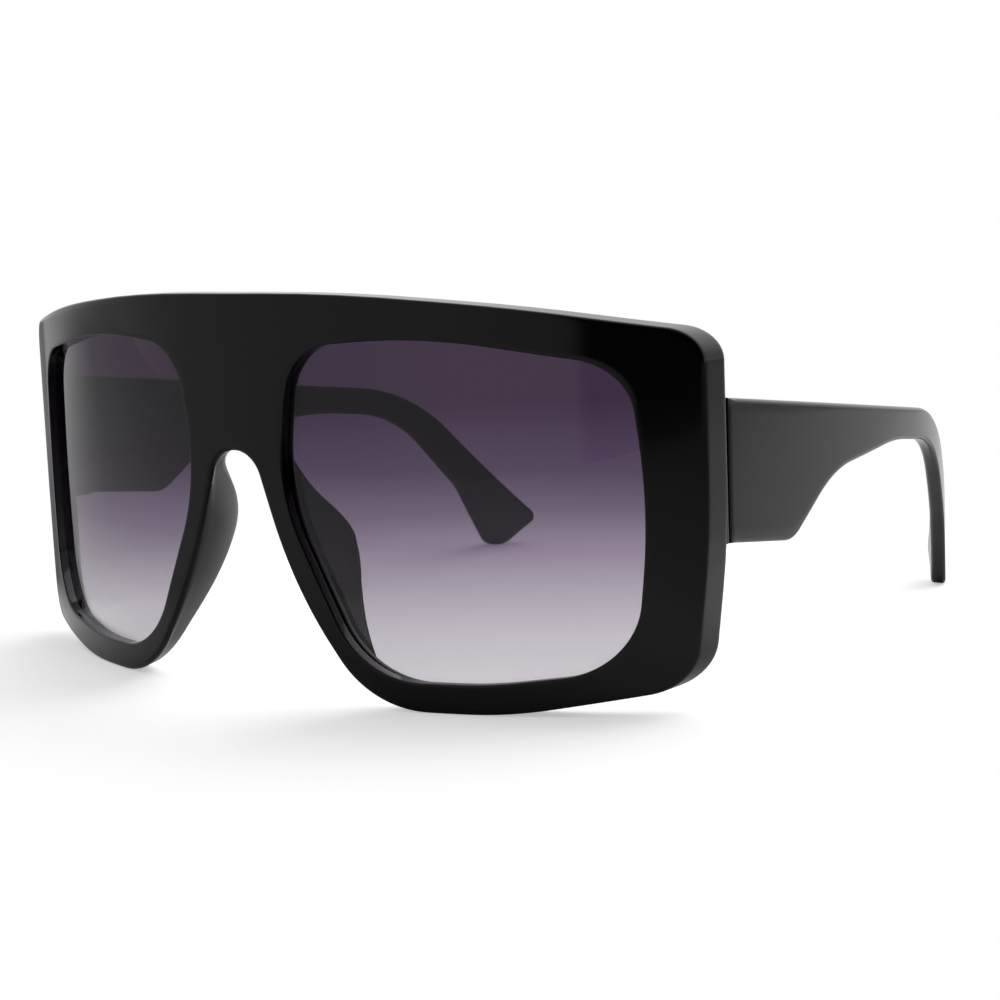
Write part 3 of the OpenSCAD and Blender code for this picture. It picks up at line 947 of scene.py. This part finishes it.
class SUNGLASSES_OT_stage(bpy.types.Operator):
    """Make the floor, the lights, the world and the camera"""

    bl_idname = "sunglasses.stage"
    bl_label = "Make Stage"

    def execute(self, context):
        scene = context.scene
        bpy.ops.object.select_all(action="DESELECT")
        bpy.ops.mesh.primitive_plane_add(size=1)
        floor = context.object
        floor.name = "floor"
        front_edge, back_edge, half_width = -0.33, 1.6, 1.2
        floor.scale = (2 * half_width, back_edge - front_edge, 1)
        floor.location = (0, (back_edge + front_edge) / 2, 0)
        bpy.ops.object.transform_apply(location=True, rotation=True, scale=True)
        floor.data.materials.append(paper_sweep(scene.sunglasses_finish.floor_white))
        studio_world(scene)
        bpy.ops.object.light_add(type="AREA", location=SOFTBOX)
        softbox = context.object
        softbox.visible_glossy = False
        softbox.data.shape = "RECTANGLE"
        softbox.data.size, softbox.data.size_y = 1.2, 0.7
        softbox.data.energy = 5.0
        way = Vector((0, 0, 0.03)) - SOFTBOX
        softbox.rotation_euler = way.to_track_quat("-Z", "Y").to_euler()
        photo_camera(scene)
        return {"FINISHED"}


def seen_directly(tree):
    """1 for what the camera sees, directly or through a lens, and 0 otherwise."""
    path = added(tree, "LightPath").outputs
    return added(tree, "Math", (path["Is Camera Ray"], path["Is Transmission Ray"]), operation="MAXIMUM")


def paper_sweep(white):
    """White background paper. Part of what the camera sees of it is its own white, and all of it
    away from the glasses, so that the shadows stay faint and end near them. What lights and mirrors
    see of it is painted light and shade for the reflections in the gloss black: white behind the
    glasses, painted grey in front of them, painted greyer further to their left, a painted dark
    patch beside their right rim, and a painted glow round that rim's foot."""
    material, tree = new_material("background_paper")
    place = added(tree, "TexCoord").outputs["Object"]
    leftwards = (1, 0, 0)

    # Painted light and shade, seen only by lights and mirrors: white behind the glasses, painted grey in
    # front of them and past their left front
    back = added(tree, "Math", (along(tree, place, (0, 1, 0), -0.08, 0.12, 0, 0.83),
                                along(tree, place, (0.35, 0.94, 0), -0.02, 0.03)), operation="MAXIMUM")
    front_left = along(tree, place, (0.83, -0.56, 0), 0.082, 0.108, 1, 0)
    back = added(tree, "Math", (back, front_left), operation="MULTIPLY")
    grey = 0.42
    mirrored = added(tree, "Math", (back, 1 - grey, grey), operation="MULTIPLY_ADD")
    reach = 0.5
    # Painted falloff: what mirrors see of the floor grows greyer towards the glasses' left
    fall = added(tree, "ValToRGB", (along(tree, place, leftwards, 0, reach),), greys(
        (x / reach, value) for x, value in ((0.11, 0.97), (0.125, 0.85), (0.15, 0.66), (0.2, 0.61),
                                            (0.25, 0.57), (0.3, 0.46), (0.34, 0.38))))
    mirrored = added(tree, "VectorMath", {0: fall, "Scale": mirrored}, operation="SCALE")
    # Painted shade: a dark patch on the floor beside the right rim, seen only by mirrors and lights
    beside = added(tree, "Math", (along(tree, place, (0.45, 1, 0), -0.094, -0.078),
                                  along(tree, place, leftwards, -0.125, -0.1, 0.67, 0)),
                   operation="MULTIPLY")
    kept = added(tree, "Math", (1.0, beside), operation="SUBTRACT")
    mirrored = added(tree, "VectorMath", {0: mirrored, "Scale": kept}, operation="SCALE")
    # Painted glow: the floor round the right rim's foot shines faintly though no lamp lights it, for the
    # rim's reflection
    from_foot = added(tree, "VectorMath", (place, (-0.072, -0.055, 0)), operation="DISTANCE")
    painted_glow = added(tree, "Math", (added(tree, "MapRange", (from_foot, 0.01, 0.06, 0.42, 0)),
                                 along(tree, place, leftwards, -0.118, -0.09)), operation="MULTIPLY")
    mirrored = added(tree, "AddShader", (added(tree, "BsdfDiffuse", (mirrored,)),
                                         added(tree, "Emission", {"Strength": painted_glow})))

    near = added(tree, "AddShader", (added(tree, "BsdfDiffuse", (linear(white),)),
                                     added(tree, "Emission", (WHITE, 0.45))))
    distance = added(tree, "VectorMath", (place,), operation="LENGTH")
    seen = added(tree, "MixShader", (added(tree, "MapRange", (distance, 0.085, 0.135)), near,
                                     added(tree, "Emission", (WHITE, 1.0))))
    both = added(tree, "MixShader", (seen_directly(tree), mirrored, seen))
    added(tree, "OutputMaterial", (both,))
    return material


def studio_world(scene):
    """A white studio behind and beside the glasses, with the softbox's glow in it, dimmer in front of
    them and on their left, and black where the camera stands. The camera itself sees plain white."""
    world = bpy.data.worlds.new("studio")
    world.use_nodes = True
    tree = world.node_tree
    tree.nodes.clear()
    way = added(tree, "TexCoord").outputs["Generated"]
    light = added(tree, "ValToRGB", (along(tree, way, (0, 1, 0), -1, 1),), greys(
        ((0.0, 0.28), (0.25, 0.3), (0.42, 0.42), (0.5, 0.6), (0.65, 0.85), (1.0, 0.9))))
    light = added(tree, "VectorMath", {0: light, "Scale": along(tree, way, (1, 0, 0), 0, 0.65, 1, 0.53)},
                  operation="SCALE")
    smooth = {"interpolation_type": "SMOOTHSTEP"}
    glow = added(tree, "VectorMath", {
        0: (0.5, 0.5, 0.5), "Scale": along(tree, way, SOFTBOX.normalized(), 0.7, 0.97, **smooth)},
        operation="SCALE")
    light = added(tree, "VectorMath", (light, glow), operation="ADD")
    start, end = math.radians(21), math.radians(105)
    dark = 1.0
    for side, low, high in (((math.cos(start), math.sin(start), 0), -0.02, 0.03),
                            ((-math.cos(end), -math.sin(end), 0), -0.02, 0.05),
                            ((0, 0, 1), -0.14, -0.125), ((0, 0, -1), -0.8, -0.5)):
        dark = added(tree, "Math", (dark, along(tree, way, side, low, high, **smooth)),
                     operation="MULTIPLY")
    shade = added(tree, "Mix", {"Factor": dark, "A": light, "B": (0.01, 0.01, 0.01, 1)},
                  data_type="RGBA")
    seen = added(tree, "Mix", {"Factor": seen_directly(tree), "A": shade, "B": WHITE}, data_type="RGBA")
    background = added(tree, "Background", {"Color": seen, "Strength": 1.0})
    added(tree, "OutputWorld", (background,))
    scene.world = world


def photo_camera(scene):
    """A camera at the photograph's viewing angle and distance."""
    azimuth, elevation, roll = math.radians(38.01), math.radians(8.2942), math.radians(-2.2975)
    distance, target = 0.3542, Vector((0.03851, FRONT_Y + 0.02, 0.03173))
    focal_share = 2.2478  # focal length over sensor width
    back = Vector((math.sin(azimuth) * math.cos(elevation), -math.cos(azimuth) * math.cos(elevation),
                   math.sin(elevation)))
    level = Vector((math.cos(azimuth), math.sin(azimuth), 0))
    upright = back.cross(level)
    right = level * math.cos(roll) + upright * math.sin(roll)
    up = upright * math.cos(roll) - level * math.sin(roll)
    data = bpy.data.cameras.new("camera")
    camera = bpy.data.objects.new("camera", data)
    scene.collection.objects.link(camera)
    data.sensor_width = 36
    data.lens = focal_share * data.sensor_width
    camera.matrix_world = Matrix.Translation(target + back * distance) @ Matrix(
        (right, up, back)).transposed().to_4x4()
    scene.camera = camera
    scene.view_settings.view_transform = "Standard"


OPERATORS = (SUNGLASSES_OT_front, SUNGLASSES_OT_lenses, SUNGLASSES_OT_temples, SUNGLASSES_OT_hinges,
             SUNGLASSES_OT_stage)
GROUPS = {"sunglasses_front": FrontSizes, "sunglasses_lens": LensSizes,
          "sunglasses_temple": TempleSizes, "sunglasses_finish": Finishes}


class VIEW3D_PT_sunglasses(bpy.types.Panel):
    """The glasses' sizes, finishes and pieces, in the sidebar"""

    bl_idname = "VIEW3D_PT_sunglasses"
    bl_label = "Wrapped Sunglasses"
    bl_space_type = "VIEW_3D"
    bl_region_type = "UI"
    bl_category = "Sunglasses"

    def draw(self, context):
        for name, group in GROUPS.items():
            box = self.layout.box()
            for entry in group.__annotations__:
                box.prop(getattr(context.scene, name), entry)
        for operator in OPERATORS:
            self.layout.operator(operator.bl_idname)


def register():
    """Adds the classes and the scene's property groups."""
    for made in (*GROUPS.values(), *OPERATORS, VIEW3D_PT_sunglasses):
        bpy.utils.register_class(made)
    for name, group in GROUPS.items():
        setattr(bpy.types.Scene, name, bpy.props.PointerProperty(type=group))


def unregister():
    """Takes the classes and the property groups away again."""
    for name in GROUPS:
        delattr(bpy.types.Scene, name)
    for made in (VIEW3D_PT_sunglasses, *OPERATORS, *GROUPS.values()):
        bpy.utils.unregister_class(made)


def main():
    """Builds every piece and the stage."""
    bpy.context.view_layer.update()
    register()
    bpy.ops.sunglasses.front()
    bpy.ops.sunglasses.lenses()
    bpy.ops.sunglasses.temples()
    bpy.ops.sunglasses.hinges()
    bpy.ops.sunglasses.stage()
    bpy.context.view_layer.update()


if __name__ == "__main__":
    main()
